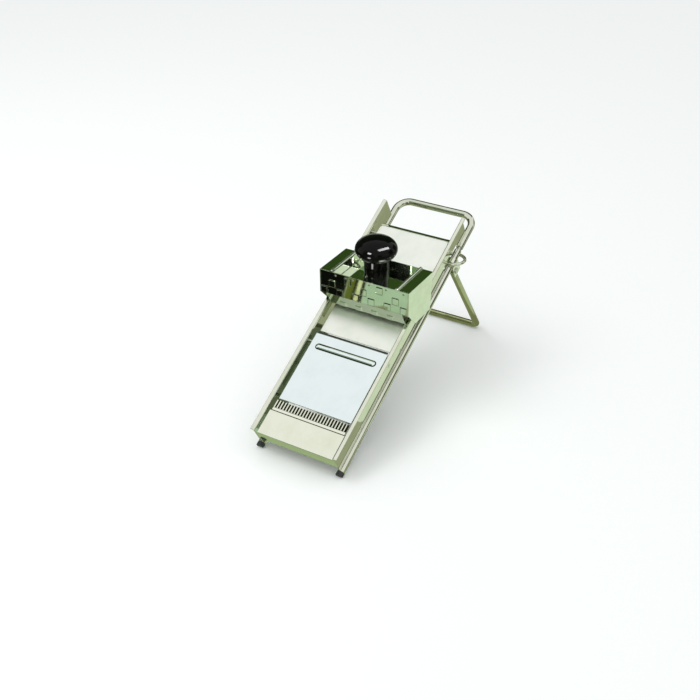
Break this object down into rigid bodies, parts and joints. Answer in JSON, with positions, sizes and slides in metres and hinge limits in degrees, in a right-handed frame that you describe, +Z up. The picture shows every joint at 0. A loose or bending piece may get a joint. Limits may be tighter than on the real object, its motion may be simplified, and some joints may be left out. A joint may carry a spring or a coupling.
{
  "type": "mandoline slicer",
  "caption": "Steel mandoline slicer: inclined tube frame with side rails, tilting plates, straight and wavy blades, folding leg, and a sliding food carriage with a spiked pusher and round knob.",
  "frame": {"origin": "bottom centre of the bounding box, on the table", "axes": "+Y from the low end to the handle, +X across the bed to the right, +Z up"},
  "size_m": [0.1544, 0.422, 0.2306],
  "materials": {
    "polished_steel": "mirror polished stainless sheet and tube",
    "blade_steel": "ground blade steel",
    "black_plastic": "glossy moulded black",
    "plug_plastic": "satin moulded dark"
  },
  "bodies": {
    "frame": {"left_arm_tube": "polished_steel", "right_arm_tube": "polished_steel", "handle_tube": "polished_steel", "handle_spigots": "polished_steel", "tube_end_plugs": "plug_plastic", "left_side_rail": "polished_steel", "right_side_rail": "polished_steel", "end_plate": "polished_steel", "wavy_blade": "blade_steel", "wavy_blade_rivets": "polished_steel", "feed_hinge_rod": "polished_steel", "centre_hinge_rod": "polished_steel", "tie_rods": "polished_steel", "left_leg_clip": "polished_steel", "right_leg_clip": "polished_steel", "left_stop_ring": "polished_steel", "right_stop_ring": "polished_steel", "leg_pivot_pins": "polished_steel"},
    "feed_table": {"feed_plate": "polished_steel"},
    "centre_table": {"centre_plate": "polished_steel", "straight_blade": "blade_steel", "straight_blade_rivets": "polished_steel"},
    "feed_control": {"feed_cam_shaft": "polished_steel", "feed_cams": "polished_steel", "feed_lever": "polished_steel", "feed_lever_knob": "black_plastic"},
    "centre_control": {"centre_cam_shaft": "polished_steel", "centre_cams": "polished_steel", "centre_lever": "polished_steel", "centre_lever_knob": "black_plastic"},
    "stand": {"leg_tube": "polished_steel", "left_leg_eye": "polished_steel", "right_leg_eye": "polished_steel"},
    "carriage": {"carriage_front_plate": "polished_steel", "carriage_left_side": "polished_steel", "carriage_right_side": "polished_steel", "carriage_well": "polished_steel", "carriage_left_glide": "polished_steel", "carriage_right_glide": "polished_steel"},
    "pusher": {"pusher_plate": "polished_steel", "pusher_spikes": "polished_steel", "pusher_knob": "black_plastic", "knob_screw": "polished_steel"}
  },
  "joints": [
    {"name": "feed_table_tilt", "type": "hinge", "parent": "frame", "child": "feed_table", "pos_m": [0, 0.09602, 0.17922], "axis": [-1, 0, 0], "range_deg": [-1.5, 1.01]},
    {"name": "feed_lever_turn", "type": "hinge", "parent": "frame", "child": "feed_control", "pos_m": [0, -0.04174, 0.09741], "axis": [1, 0, 0], "range_deg": [-40, 27]},
    {"name": "centre_table_tilt", "type": "hinge", "parent": "frame", "child": "centre_table", "pos_m": [0, -0.07318, 0.09276], "axis": [-1, 0, 0], "range_deg": [-3.67, 1.77]},
    {"name": "centre_lever_turn", "type": "hinge", "parent": "frame", "child": "centre_control", "pos_m": [0, -0.1436, 0.04619], "axis": [1, 0, 0], "range_deg": [-50, 24]},
    {"name": "carriage_slide", "type": "slide", "parent": "frame", "child": "carriage", "axis": [0, 0.8854, 0.4648], "range_m": [-0.19, 0.06]},
    {"name": "pusher_slide", "type": "slide", "parent": "carriage", "child": "pusher", "axis": [0, 0, 1], "range_m": [0, 0.03]},
    {"name": "leg_fold", "type": "hinge", "parent": "frame", "child": "stand", "pos_m": [0, 0.10428, 0.14843], "axis": [-1, 0, 0], "range_deg": [0, 97]}
  ],
  "couplings": [
    {"joint": "feed_table_tilt", "follows": "feed_lever_turn", "ratio": 0.03714},
    {"joint": "centre_table_tilt", "follows": "centre_lever_turn", "ratio": 0.073202}
  ]
}
